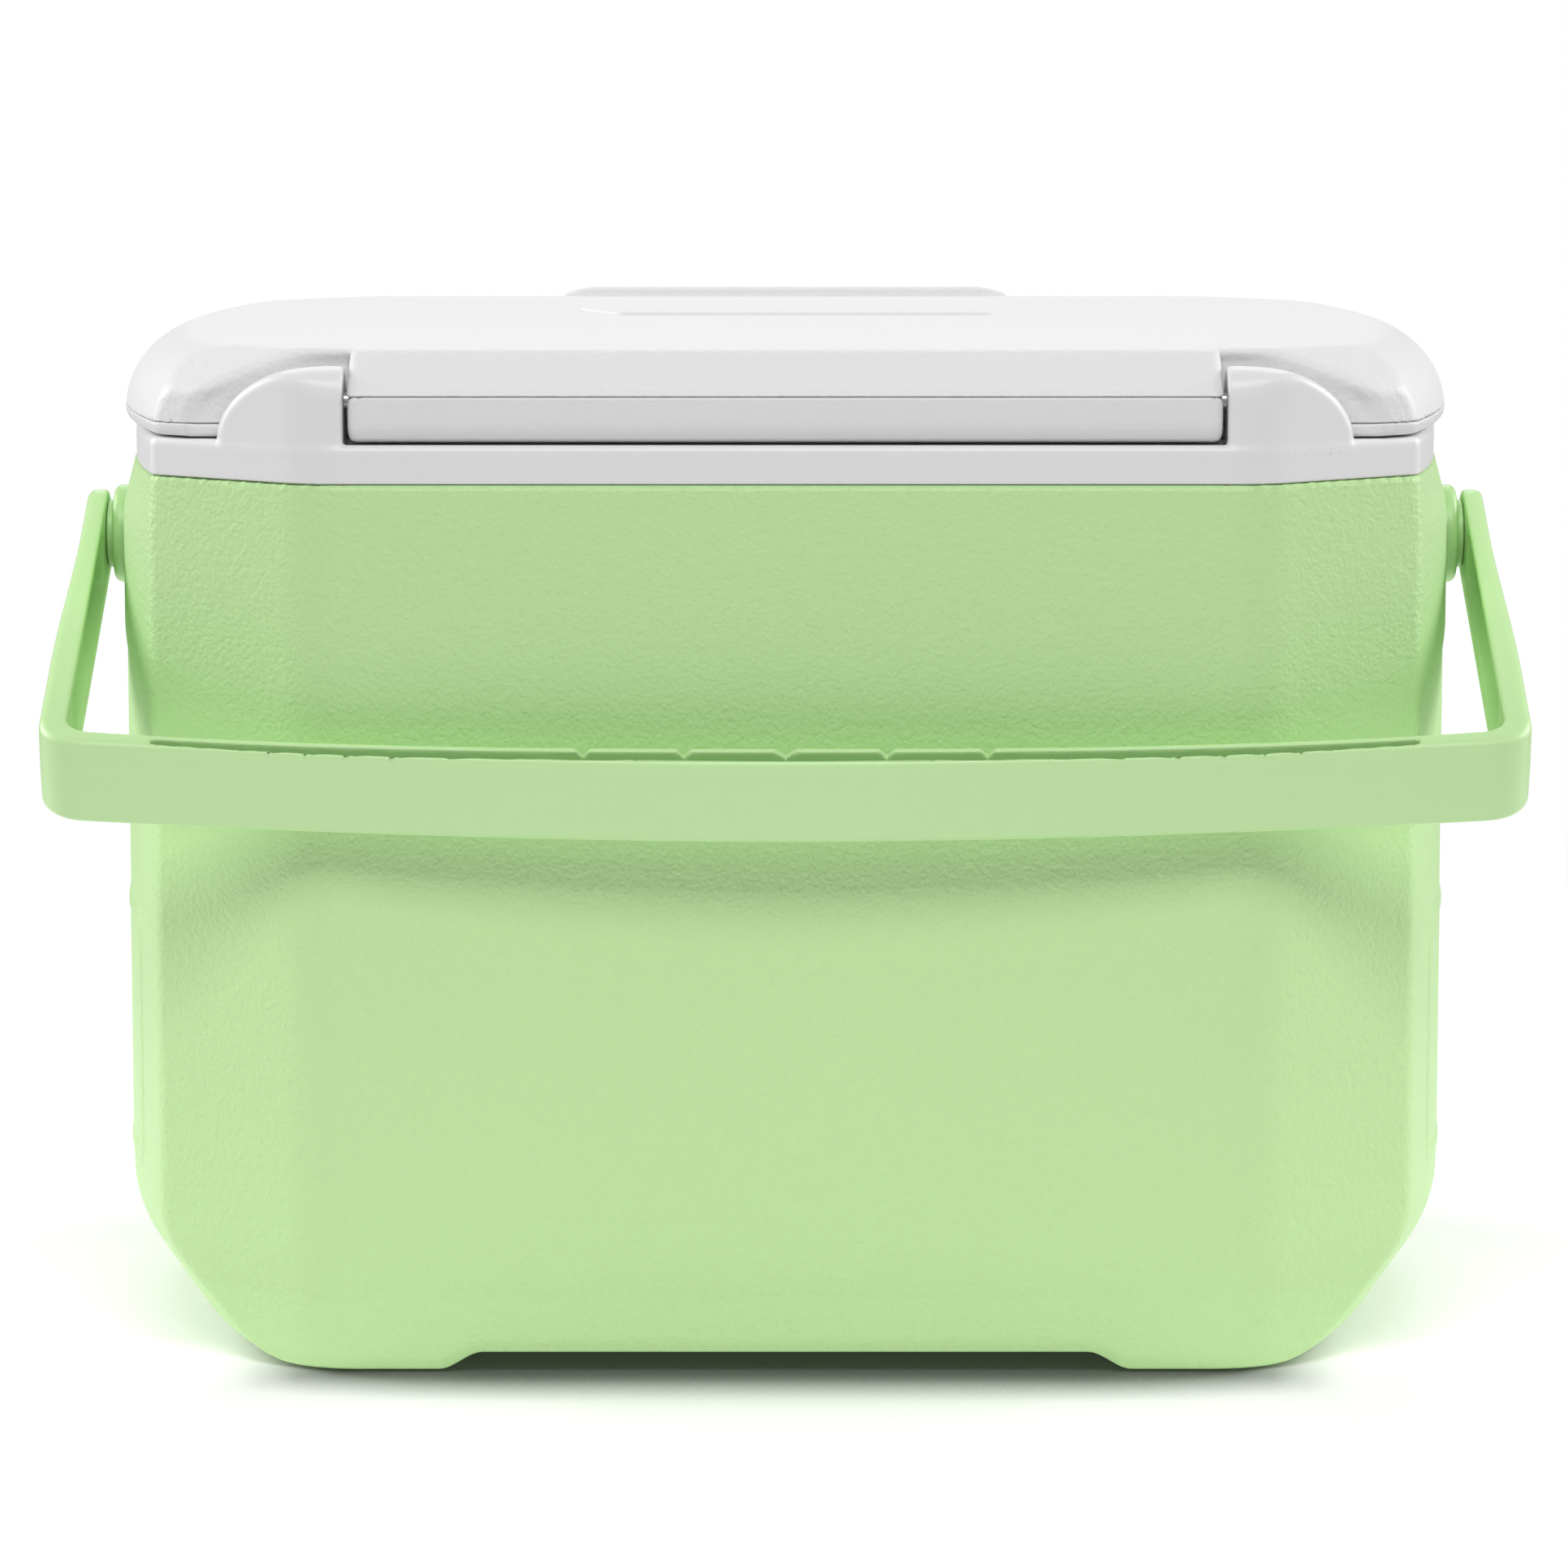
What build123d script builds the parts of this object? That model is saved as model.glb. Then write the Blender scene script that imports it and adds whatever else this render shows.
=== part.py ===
from build123d import *
import math
import os

os.makedirs("parts", exist_ok=True)

# A personal-size hard cooler chest with a swing handle.  Millimetres, +Z up.
# The origin is on the floor under the middle of the overall box.  The hinge
# side of the chest faces -Y, the opening side +Y, and +X is to the right when
# the hinge side is seen.

# ---------------------------------------------------------------- dimensions
YC = 12.2               # middle plane of the chest, forward of the origin

# outline of the chest seen from above
HALF_DEPTH = 122.0      # long faces
FLAT_HALF = 134.0       # half length of the flat middle of a long face
CREASE_X = 180.0        # vertical crease where facet and end meet
CREASE_Y = 92.5
HALF_W = 195.0          # bowed end, at its middle
FACET_R = 30.0          # soft corner between flat and facet
CREASE_R = 4.0          # crisp corner between facet and end

# heights
TUNNEL_Z = 5.2          # underside between the two feet
SHELL_TOP = 254.8
COLLAR_TOP = 265.8
LID_BOTTOM = 266.3
LID_PART = 270.1        # parting line of the lid, all round but the barrel
LID_TOP = 292.0

SHELL_T = 3.0           # shell wall
SHELL_FLOOR = 8.2       # inside of the shell's floor
LINER_T = 2.5
LINER_IN = 22.0         # liner inside the outline at its mouth
LINER_FLOOR = 33.0      # inside of the liner's floor
LINER_TAPER = 1.2       # draft of the liner, degrees
COLLAR_T = 3.0
COLLAR_IN = 0.5         # collar's outside inside the outline

# bottom taper of the ends
TAPER_R = 28.6
TAPER_Z = 44.7
TAPER_A = 34.4

# feet
FOOT_IN = 98.0          # inner edge of a foot at the floor
FOOT_UP = 87.5          # where the ramp meets the underside

# hinge
HINGE_Y = -110.9
HINGE_Z = 277.5
EAR_IN = 123.6
EAR_OUT = 160.3
EAR_R = 10.6
BARREL_HALF = 122.6
BARREL_R = 11.2
BARREL_PART = 279.4     # parting line on the barrel
PIN_R = 2.5
PIN_RUN = 0.05          # running clearance of the pin in the barrel
TROUGH_R = 12.3

# lid
LID_WALL = 2.5
LID_END_R = 24.0        # round-over of the lid's ends
LID_SLOPE_Y = 103.0     # where the lid's top starts to fall away
LID_SLOPE_Z = 280.0     # where the fall meets the lid's side
POCKET_Y = -99.3        # back wall of the pocket behind each ear
PLUG_IN = 25.5

# handle
PIVOT_Z = 228.5
HANG = 23.0             # the handle hangs this far below level, degrees
STRAP_HALF = 13.0       # half width of the handle strap
ARM_IN = 201.4
ARM_OUT = 207.6
ARM_LOW = 209.6
BOSS_R = 14.5
BOSS_SEAT = 194.4
BOSS_OUT = 199.3
NECK_R = 10.0
NECK_OUT = 201.1
STUB_R = 8.0
STUB_OUT = 205.8

END_R = (CREASE_Y ** 2 + (HALF_W - CREASE_X) ** 2) / (2 * (HALF_W - CREASE_X))
END_CX = HALF_W - END_R

# ---------------------------------------------------------------- planes


def level(h):
    """Horizontal plane of the chest at height h."""
    return Plane(origin=(0, YC, h), x_dir=(1, 0, 0), z_dir=(0, 0, 1))


side = Plane(origin=(0, YC, 0), x_dir=(0, 1, 0), z_dir=(1, 0, 0))
rear = Plane(origin=(0, YC, 0), x_dir=(1, 0, 0), z_dir=(0, -1, 0))


# ---------------------------------------------------------------- outlines


def plan(t=0.0, soft=FACET_R, crisp=CREASE_R):
    """Outline of the chest from above, brought in by t all round."""
    fx, fy = CREASE_X - FLAT_HALF, HALF_DEPTH - CREASE_Y
    n = math.hypot(fx, fy)
    nx, ny = fy / n, fx / n
    k = nx * FLAT_HALF + ny * HALF_DEPTH - t
    ya = HALF_DEPTH - t
    xa = (k - ny * ya) / nx
    # facet line meets the end arc
    r = END_R - t
    kk = k - nx * END_CX
    # point at distance kk along the normal, then along the facet direction
    s = math.sqrt(r * r - kk * kk)
    xb, yb = END_CX + nx * kk + ny * s, ny * kk - nx * s
    xm = END_CX + r
    with BuildSketch(Plane.XY, mode=Mode.PRIVATE) as s_plan:
        with BuildLine():
            Line((-xa, -ya), (xa, -ya))
            Line((xa, -ya), (xb, -yb))
            ThreePointArc((xb, -yb), (xm, 0), (xb, yb))
            Line((xb, yb), (xa, ya))
            Line((xa, ya), (-xa, ya))
            Line((-xa, ya), (-xb, yb))
            ThreePointArc((-xb, yb), (-xm, 0), (-xb, -yb))
            Line((-xb, -yb), (-xa, -ya))
        make_face()
        facet_corners = s_plan.vertices().filter_by(
            lambda v: abs(abs(v.Y) - ya) < 0.01)
        creases = s_plan.vertices().filter_by(
            lambda v: abs(abs(v.Y) - yb) < 0.01)
        fillet(facet_corners, soft)
        fillet(creases, crisp)
    return s_plan.sketch


def long_sides(t=0.0, soft=FACET_R):
    """The flats and facets alone, run out past the bowed ends."""
    fx, fy = CREASE_X - FLAT_HALF, HALF_DEPTH - CREASE_Y
    n = math.hypot(fx, fy)
    nx, ny = fy / n, fx / n
    k = nx * FLAT_HALF + ny * HALF_DEPTH - t
    ya = HALF_DEPTH - t
    xa = (k - ny * ya) / nx
    xw = HALF_W + 12
    yw = (k - nx * xw) / ny
    with BuildSketch(Plane.XY, mode=Mode.PRIVATE) as s_sides:
        with BuildLine():
            Polyline((-xa, -ya), (xa, -ya), (xw, -yw), (xw, yw), (xa, ya),
                     (-xa, ya), (-xw, yw), (-xw, -yw), close=True)
        make_face()
        fillet(s_sides.vertices().filter_by(
            lambda v: abs(abs(v.Y) - ya) < 0.01), soft)
    return s_sides.sketch


def end_profile(t, low, high):
    """Half section of a body end, for turning about the end's own axis."""
    a = math.radians(TAPER_A)
    r = TAPER_R - t
    cx, cz = HALF_W - TAPER_R, TAPER_Z
    px, pz = cx + r * math.cos(a), cz - r * math.sin(a)
    qx = px - (pz - low) * math.tan(a)
    m = a / 2
    with BuildSketch(Plane.XY, mode=Mode.PRIVATE) as s_end:
        with BuildLine():
            Line((END_CX, high), (HALF_W - t, high))
            Line((HALF_W - t, high), (HALF_W - t, cz))
            ThreePointArc((HALF_W - t, cz),
                          (cx + r * math.cos(m), cz - r * math.sin(m)),
                          (px, pz))
            Line((px, pz), (qx, low))
            Line((qx, low), (END_CX, low))
            Line((END_CX, low), (END_CX, high))
        make_face()
    return s_end.sketch


def side_profile(t, low, high, toe):
    """Cross section of the body, with the slight tuck of its lower edge."""
    y0, y1 = HALF_DEPTH - t, HALF_DEPTH - t - 5.0
    with BuildSketch(Plane.XY, mode=Mode.PRIVATE) as s_side:
        with BuildLine():
            Polyline((-y0, high), (-y0, 40), (-y1, low), (y1, low),
                     (y0, 40), (y0, high), close=True)
        make_face()
        fillet(s_side.vertices().filter_by(lambda v: abs(v.Y - 40) < 0.01), 60)
        fillet(s_side.vertices().filter_by(lambda v: abs(v.Y - low) < 0.01), toe)
    return s_side.sketch


def body_form(t, low, high, toe):
    """Outer form of the chest, brought in by t."""
    with BuildPart(mode=Mode.PRIVATE) as form:
        with BuildSketch(level(low)):
            add(long_sides(t))
        extrude(amount=high - low)
        for sgn in (1, -1):
            with BuildSketch(rear):
                if sgn > 0:
                    add(end_profile(t, low, high))
                else:
                    add(end_profile(t, low, high).mirror(Plane.YZ))
            revolve(axis=Axis((sgn * END_CX, YC, 0), (0, 0, 1)),
                    mode=Mode.INTERSECT)
        with BuildSketch(side.offset(-HALF_W - 10)):
            add(side_profile(t, low, high, toe))
        extrude(amount=2 * (HALF_W + 10), mode=Mode.INTERSECT)
    return form.part


def liner_form(t, floor):
    """The food space, brought out by t, up to the mouth."""
    top = COLLAR_TOP - COLLAR_T
    with BuildPart(mode=Mode.PRIVATE) as form:
        with BuildSketch(level(top)):
            add(plan(LINER_IN - t, soft=40 + t, crisp=30 + t))
        extrude(amount=-(top - floor), taper=LINER_TAPER)
        fillet(form.edges().group_by(Axis.Z)[0], 9 + t)
    return form.part


def lid_form(t, low):
    """Outer form of the lid, brought in by t, from low up."""
    top = LID_TOP - t
    r = LID_END_R - t
    cx, cz = HALF_W - LID_END_R, LID_TOP - LID_END_R
    m = math.radians(45)
    ang = math.atan2(LID_TOP - LID_SLOPE_Z, HALF_DEPTH - LID_SLOPE_Y)
    # the sloped band, brought in square to itself
    y_side = HALF_DEPTH + 0.3 - t
    z_side = LID_SLOPE_Z - t * math.tan(ang / 2) - t * math.tan(ang) * 0.35
    y_top = LID_SLOPE_Y - t * math.tan(ang / 2)
    with BuildPart(mode=Mode.PRIVATE) as form:
        with BuildSketch(level(low)):
            add(plan(t if t else -0.3))
        extrude(amount=top - low)
        for sgn in (1, -1):
            with BuildSketch(rear):
                with BuildLine():
                    Line((sgn * END_CX, top), (sgn * cx, top))
                    ThreePointArc((sgn * cx, top),
                                  (sgn * (cx + r * math.cos(m)),
                                   cz + r * math.sin(m)),
                                  (sgn * (cx + r), cz))
                    Line((sgn * (cx + r), cz), (sgn * (cx + r), cz - 12))
                    Line((sgn * (cx + r), cz - 12),
                         (sgn * END_CX, cz - 12))
                    Line((sgn * END_CX, cz - 12), (sgn * END_CX, top))
                make_face()
            revolve(axis=Axis((sgn * END_CX, YC, 0), (0, 0, 1)),
                    mode=Mode.INTERSECT)
        with BuildSketch(side.offset(-HALF_W - 10)):
            with BuildLine():
                Polyline((-y_side, low), (-y_side, z_side), (-y_top, top),
                         (y_top, top), (y_side, z_side), (y_side, low),
                         close=True)
            make_face()
        extrude(amount=2 * (HALF_W + 10), mode=Mode.INTERSECT)
        # the same slope carried round the four corner facets
        fx, fy = CREASE_X - FLAT_HALF, HALF_DEPTH - CREASE_Y
        n = math.hypot(fx, fy)
        nx, ny = fy / n, fx / n
        k = nx * FLAT_HALF + ny * HALF_DEPTH
        k_side = k + y_side - HALF_DEPTH
        k_top = k + y_top - HALF_DEPTH
        for sgn in (1, -1):
            with BuildSketch(Plane(origin=(-300 * ny, YC + 300 * sgn * nx, 0),
                                   x_dir=(sgn * nx, ny, 0),
                                   z_dir=(ny, -sgn * nx, 0))):
                with BuildLine():
                    Polyline((-k_side, low), (-k_side, z_side),
                             (-k_top, top), (k_top, top), (k_side, z_side),
                             (k_side, low), close=True)
                make_face()
            extrude(amount=600, mode=Mode.INTERSECT)
    return form.part


def pocket():
    """Room in the lid round one ear (right-hand side)."""
    with BuildPart(mode=Mode.PRIVATE) as room:
        with BuildSketch(Plane(origin=(0, YC + POCKET_Y, 0),
                               x_dir=(1, 0, 0), z_dir=(0, -1, 0))):
            with BuildLine():
                Line((BARREL_HALF, 260), (BARREL_HALF, 290.5))
                Line((BARREL_HALF, 290.5), (138, 290.5))
                Spline((138, 290.5), (149.5, 289.0), (159.6, 283.9),
                       (165.4, 279.4), (168.9, 274.9), (170.3, 270.0),
                       tangents=[(1, 0), (0, -1)])
                Line((170.3, 270.0), (170.3, 260))
                Line((170.3, 260), (BARREL_HALF, 260))
            make_face()
        extrude(amount=40)
    return room.part


# ---------------------------------------------------------------- outer shell
outer = body_form(0, 0, SHELL_TOP, 6.5)
inner = body_form(SHELL_T, SHELL_FLOOR, SHELL_TOP, 4.0)

with BuildPart() as outer_shell:
    add(outer)
    add(inner, mode=Mode.SUBTRACT)
    # tunnel between the two feet, right through from front to back
    with BuildSketch(rear.offset(-HALF_DEPTH - 10)):
        with BuildLine():
            Line((-FOOT_UP, TUNNEL_Z), (FOOT_UP, TUNNEL_Z))
            Spline((FOOT_UP, TUNNEL_Z), (FOOT_IN, 0),
                   tangents=[(1, 0), (1, 0)])
            Line((FOOT_IN, 0), (FOOT_IN, -5))
            Line((FOOT_IN, -5), (-FOOT_IN, -5))
            Line((-FOOT_IN, -5), (-FOOT_IN, 0))
            Spline((-FOOT_IN, 0), (-FOOT_UP, TUNNEL_Z),
                   tangents=[(1, 0), (1, 0)])
        make_face()
    extrude(amount=2 * (HALF_DEPTH + 10), mode=Mode.SUBTRACT)
    # flat seats and bores for the pivot bosses
    for sgn in (1, -1):
        seat = Plane(origin=(sgn * BOSS_SEAT, YC, PIVOT_Z),
                     x_dir=(0, 1, 0), z_dir=(sgn, 0, 0))
        with BuildSketch(seat):
            Circle(BOSS_R + 0.3)
        extrude(amount=5, mode=Mode.SUBTRACT)
        with BuildSketch(seat):
            Circle(9.0)
        extrude(amount=-8, mode=Mode.SUBTRACT)
    # two filling holes in the floor
    with BuildSketch(level(0)):
        with Locations((-45, 0), (45, 0)):
            Circle(11.0)
    extrude(amount=SHELL_FLOOR + 2, mode=Mode.SUBTRACT)
outer_shell.part.label = "outer_shell"
export_step(outer_shell.part, "parts/outer_shell.step")

# ---------------------------------------------------------------- liner
liner_out = liner_form(LINER_T, LINER_FLOOR - LINER_T)
liner_in = liner_form(0, LINER_FLOOR)

with BuildPart() as inner_liner:
    add(liner_out)
    # flange that hangs under the collar
    with BuildSketch(level(COLLAR_TOP - COLLAR_T)):
        add(plan(8.0))
        add(plan(LINER_IN - 1.0, soft=40, crisp=30), mode=Mode.SUBTRACT)
    extrude(amount=-LINER_T)
    add(liner_in, mode=Mode.SUBTRACT)
inner_liner.part.label = "inner_liner"
export_step(inner_liner.part, "parts/inner_liner.step")

# ---------------------------------------------------------------- rim collar
with BuildPart() as rim_collar:
    # top ledge
    with BuildSketch(level(COLLAR_TOP - COLLAR_T)):
        add(plan(COLLAR_IN))
        add(plan(LINER_IN, soft=40, crisp=30), mode=Mode.SUBTRACT)
    extrude(amount=COLLAR_T)
    # outer band
    with BuildSketch(level(SHELL_TOP)):
        add(plan(COLLAR_IN))
        add(plan(COLLAR_IN + COLLAR_T), mode=Mode.SUBTRACT)
    extrude(amount=COLLAR_TOP - SHELL_TOP - COLLAR_T)
    fillet(rim_collar.faces().sort_by(Axis.Z)[-1].outer_wire().edges(), 1.2)
    # skirt inside the shell
    with BuildSketch(level(SHELL_TOP - 8)):
        add(plan(SHELL_T + 0.15))
        add(plan(SHELL_T + 2.45), mode=Mode.SUBTRACT)
    extrude(amount=10)
    # hinge ears
    with BuildPart(mode=Mode.PRIVATE) as ear:
        with BuildSketch(rear):
            with BuildLine():
                Line((EAR_IN, COLLAR_TOP - 2.5), (EAR_IN, HINGE_Z + EAR_R))
                Line((EAR_IN, HINGE_Z + EAR_R), (126, HINGE_Z + EAR_R))
                Spline((126, HINGE_Z + EAR_R), (137.6, 286.6),
                       (144.2, 284.7), (150.5, 281.3), (155.2, 277.3),
                       (158.9, 272.4), (EAR_OUT, COLLAR_TOP),
                       tangents=[(1, 0), (0, -1)])
                Line((EAR_OUT, COLLAR_TOP), (EAR_OUT, COLLAR_TOP - 2.5))
                Line((EAR_OUT, COLLAR_TOP - 2.5), (EAR_IN, COLLAR_TOP - 2.5))
            make_face()
        extrude(amount=HALF_DEPTH + 5)
        with BuildSketch(level(COLLAR_TOP - 3)):
            add(plan(COLLAR_IN))
        extrude(amount=40, mode=Mode.INTERSECT)
        with BuildSketch(side):
            with BuildLine():
                l1 = Line((HINGE_Y - EAR_R, COLLAR_TOP - 3),
                          (HINGE_Y - EAR_R, HINGE_Z))
                l2 = ThreePointArc((HINGE_Y - EAR_R, HINGE_Z),
                                   (HINGE_Y, HINGE_Z + EAR_R),
                                   (HINGE_Y + EAR_R, HINGE_Z))
                l3 = Line((HINGE_Y + EAR_R, HINGE_Z),
                          (HINGE_Y + EAR_R, COLLAR_TOP - 3))
                l4 = Line((HINGE_Y + EAR_R, COLLAR_TOP - 3),
                          (HINGE_Y - EAR_R, COLLAR_TOP - 3))
            make_face()
        extrude(amount=200, mode=Mode.INTERSECT)
        # blind hole for the hinge pin
        with BuildSketch(Plane(origin=(EAR_IN, YC + HINGE_Y, HINGE_Z),
                               x_dir=(0, 1, 0), z_dir=(1, 0, 0))):
            Circle(PIN_R)
        extrude(amount=12, mode=Mode.SUBTRACT)
    add(ear.part)
    add(ear.part.mirror(Plane.YZ))
    # trough under the lid's barrel
    with BuildSketch(side.offset(-EAR_IN)):
        with Locations((HINGE_Y, HINGE_Z)):
            Circle(TROUGH_R)
    extrude(amount=2 * EAR_IN, mode=Mode.SUBTRACT)
rim_collar.part.label = "rim_collar"
export_step(rim_collar.part, "parts/rim_collar.step")

# ---------------------------------------------------------------- body foam
with BuildPart() as body_foam:
    add(body_form(SHELL_T, SHELL_FLOOR, SHELL_TOP - 8, 4.0))
    with BuildSketch(level(SHELL_TOP - 8)):
        add(plan(SHELL_T + 2.45))
    extrude(amount=COLLAR_TOP - COLLAR_T - LINER_T - SHELL_TOP + 8)
    add(liner_out, mode=Mode.SUBTRACT)
    # room for the boss backing plates, the sleeves and the port plugs
    for sgn in (1, -1):
        with BuildSketch(Plane(origin=(sgn * 191.0, YC, PIVOT_Z),
                               x_dir=(0, 1, 0), z_dir=(sgn, 0, 0))):
            Rectangle(44, 40)
        extrude(amount=-12, mode=Mode.SUBTRACT)
        with BuildSketch(Plane(origin=(sgn * 200.0, YC, PIVOT_Z),
                               x_dir=(0, 1, 0), z_dir=(sgn, 0, 0))):
            Circle(9.0)
        extrude(amount=-12, mode=Mode.SUBTRACT)
    with BuildSketch(level(SHELL_FLOOR)):
        with Locations((-45, 0), (45, 0)):
            Circle(11.0)
    extrude(amount=3, mode=Mode.SUBTRACT)
body_foam.part.label = "body_foam"
export_step(body_foam.part, "parts/body_foam.step")

# ---------------------------------------------------------------- port plugs
with BuildPart() as base_port_plugs:
    with BuildSketch(level(TUNNEL_Z + 0.6)):
        with Locations((-45, 0), (45, 0)):
            Circle(11.0)
    extrude(amount=SHELL_FLOOR + 3 - TUNNEL_Z - 0.6)
    with BuildSketch(level(TUNNEL_Z + 0.6)):
        with Locations((-45, 0), (45, 0)):
            Circle(7.5)
    extrude(amount=1.2, mode=Mode.SUBTRACT)
base_port_plugs.part.label = "base_port_plugs"
export_step(base_port_plugs.part, "parts/base_port_plugs.step")

# ---------------------------------------------------------------- pivots
for side_name, sgn in (("left", -1), ("right", 1)):
    def at(x):
        return Plane(origin=(sgn * x, YC, PIVOT_Z),
                     x_dir=(0, 1, 0), z_dir=(sgn, 0, 0))

    # boss: sleeve in the shell, round flange, neck, and the stub that the
    # handle turns on
    with BuildPart() as pivot_boss:
        with BuildSketch(at(191.0)):
            Circle(9.0)
        extrude(amount=BOSS_SEAT - 191.0)
        with BuildSketch(at(BOSS_SEAT)):
            Circle(BOSS_R)
        extrude(amount=BOSS_OUT - BOSS_SEAT)
        rim = pivot_boss.edges().filter_by(GeomType.CIRCLE).filter_by(
            lambda e: abs(e.radius - BOSS_R) < 0.01).sort_by(
            lambda e: abs(e.center().X))[-1]
        fillet(rim, 2.2)
        with BuildSketch(at(BOSS_OUT)):
            Circle(NECK_R)
        extrude(amount=NECK_OUT - BOSS_OUT)
        with BuildSketch(at(NECK_OUT)):
            Circle(STUB_R)
        extrude(amount=STUB_OUT - NECK_OUT)
        # screw: clearance hole and head recess
        with BuildSketch(at(STUB_OUT)):
            Circle(5.2)
        extrude(amount=-3.6, mode=Mode.SUBTRACT)
        with BuildSketch(at(STUB_OUT)):
            Circle(2.6)
        extrude(amount=-30, mode=Mode.SUBTRACT)
    pivot_boss.part.label = "pivot_boss_" + side_name
    export_step(pivot_boss.part, "parts/pivot_boss_" + side_name + ".step")

    # backing plate inside the foam
    with BuildPart() as boss_backing:
        with BuildSketch(at(191.0)):
            RectangleRounded(40, 36, 5)
        extrude(amount=-9)
        with BuildSketch(at(191.0)):
            Circle(2.5)
        extrude(amount=-9, mode=Mode.SUBTRACT)
    boss_backing.part.label = "boss_backing_" + side_name
    export_step(boss_backing.part, "parts/boss_backing_" + side_name + ".step")

with BuildPart() as pivot_screws:
    for sgn in (1, -1):
        start = Plane(origin=(sgn * (STUB_OUT - 3.6), YC, PIVOT_Z),
                      x_dir=(0, 1, 0), z_dir=(sgn, 0, 0))
        with BuildSketch(start):
            Circle(4.6)
        extrude(amount=3.0)
        with BuildSketch(start):
            Circle(2.5)
        extrude(amount=-(STUB_OUT - 3.6 - 180.5))
        with BuildSketch(start.offset(3.0)):
            Rectangle(5.6, 1.2)
            Rectangle(1.2, 5.6)
        extrude(amount=-1.6, mode=Mode.SUBTRACT)
pivot_screws.part.label = "pivot_screws"
export_step(pivot_screws.part, "parts/pivot_screws.step")

# ---------------------------------------------------------------- hinge pins
for side_name, sgn in (("left", -1), ("right", 1)):
    with BuildPart() as hinge_pin:
        with BuildSketch(Plane(origin=(sgn * (EAR_IN + 12), YC + HINGE_Y,
                                       HINGE_Z),
                               x_dir=(0, 1, 0), z_dir=(sgn, 0, 0))):
            Circle(PIN_R)
        extrude(amount=-28)
        chamfer(hinge_pin.edges().filter_by(GeomType.CIRCLE).sort_by(
            lambda e: abs(e.center().X))[0], 0.5)
    hinge_pin.part.label = "hinge_pin_" + side_name
    export_step(hinge_pin.part, "parts/hinge_pin_" + side_name + ".step")

# ---------------------------------------------------------------- lid
pocket_right = pocket()
pocket_left = pocket_right.mirror(Plane.YZ)

# region of the lower pan: the whole lid up to its parting line, and the
# barrel up to its own
with BuildPart() as barrel:
    with BuildSketch(side.offset(-BARREL_HALF)):
        with BuildLine():
            Line((HINGE_Y - BARREL_R, BARREL_PART),
                 (HINGE_Y - BARREL_R, HINGE_Z))
            ThreePointArc((HINGE_Y - BARREL_R, HINGE_Z),
                          (HINGE_Y - BARREL_R * math.sin(math.radians(45)),
                           HINGE_Z - BARREL_R * math.cos(math.radians(45))),
                          (HINGE_Y, HINGE_Z - BARREL_R))
            Line((HINGE_Y, HINGE_Z - BARREL_R), (POCKET_Y, LID_BOTTOM))
            Line((POCKET_Y, LID_BOTTOM), (POCKET_Y, BARREL_PART))
            Line((POCKET_Y, BARREL_PART), (HINGE_Y - BARREL_R, BARREL_PART))
        make_face()
    extrude(amount=2 * BARREL_HALF)

with BuildPart() as behind_hinge:
    # everything behind the pockets' back wall, below the barrel's parting
    with BuildSketch(side.offset(-BARREL_HALF)):
        with BuildLine():
            Polyline((-140, 255), (POCKET_Y, 255), (POCKET_Y, BARREL_PART),
                     (-140, BARREL_PART), close=True)
        make_face()
    extrude(amount=2 * BARREL_HALF)

with BuildPart() as lid_pan:
    # rim band
    with BuildSketch(level(LID_BOTTOM)):
        add(plan(-0.3))
    extrude(amount=LID_PART - LID_BOTTOM)
    fillet(lid_pan.faces().sort_by(Axis.Z)[0].outer_wire().edges(), 1.5)
    add(behind_hinge.part, mode=Mode.SUBTRACT)
    # plug that fits the mouth
    with BuildSketch(level(LID_BOTTOM)):
        add(plan(PLUG_IN, soft=40, crisp=28))
    extrude(amount=-12, taper=6)
    # hollow for the foam
    with BuildSketch(level(LID_PART)):
        add(plan(PLUG_IN + LID_WALL, soft=38, crisp=26))
    extrude(amount=-(LID_PART - LID_BOTTOM + 12 - LID_WALL), taper=6,
            mode=Mode.SUBTRACT)
    add(barrel.part)
    add(pocket_right, mode=Mode.SUBTRACT)
    add(pocket_left, mode=Mode.SUBTRACT)
    for sgn in (1, -1):
        with BuildSketch(Plane(origin=(sgn * BARREL_HALF, YC + HINGE_Y,
                                       HINGE_Z),
                               x_dir=(0, 1, 0), z_dir=(sgn, 0, 0))):
            Circle(PIN_R + PIN_RUN)
        extrude(amount=-17, mode=Mode.SUBTRACT)
    # filling holes
    with BuildSketch(level(LID_BOTTOM - 14)):
        with Locations((-60, 0), (60, 0)):
            Circle(9.0)
    extrude(amount=10, mode=Mode.SUBTRACT)
lid_pan.part.label = "lid_pan"
export_step(lid_pan.part, "parts/lid_pan.step")

with BuildPart() as lid_port_plugs:
    with BuildSketch(level(LID_BOTTOM - 12 + 0.5)):
        with Locations((-60, 0), (60, 0)):
            Circle(9.0)
    extrude(amount=4.0)
    with BuildSketch(level(LID_BOTTOM - 12 + 0.5)):
        with Locations((-60, 0), (60, 0)):
            Circle(6.0)
    extrude(amount=1.0, mode=Mode.SUBTRACT)
lid_port_plugs.part.label = "lid_port_plugs"
export_step(lid_port_plugs.part, "parts/lid_port_plugs.step")

# hollow of the lid shell
with BuildPart(mode=Mode.PRIVATE) as lid_hollow:
    add(lid_form(LID_WALL, LID_PART))
    # keep clear of the pockets and of the barrel
    with BuildSketch(side.offset(-175)):
        with BuildLine():
            Polyline((-140, 255), (POCKET_Y + LID_WALL, 255),
                     (POCKET_Y + LID_WALL, BARREL_PART + LID_WALL),
                     (-140, BARREL_PART + LID_WALL), close=True)
        make_face()
    extrude(amount=350, mode=Mode.SUBTRACT)
hollow = lid_hollow.part
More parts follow.
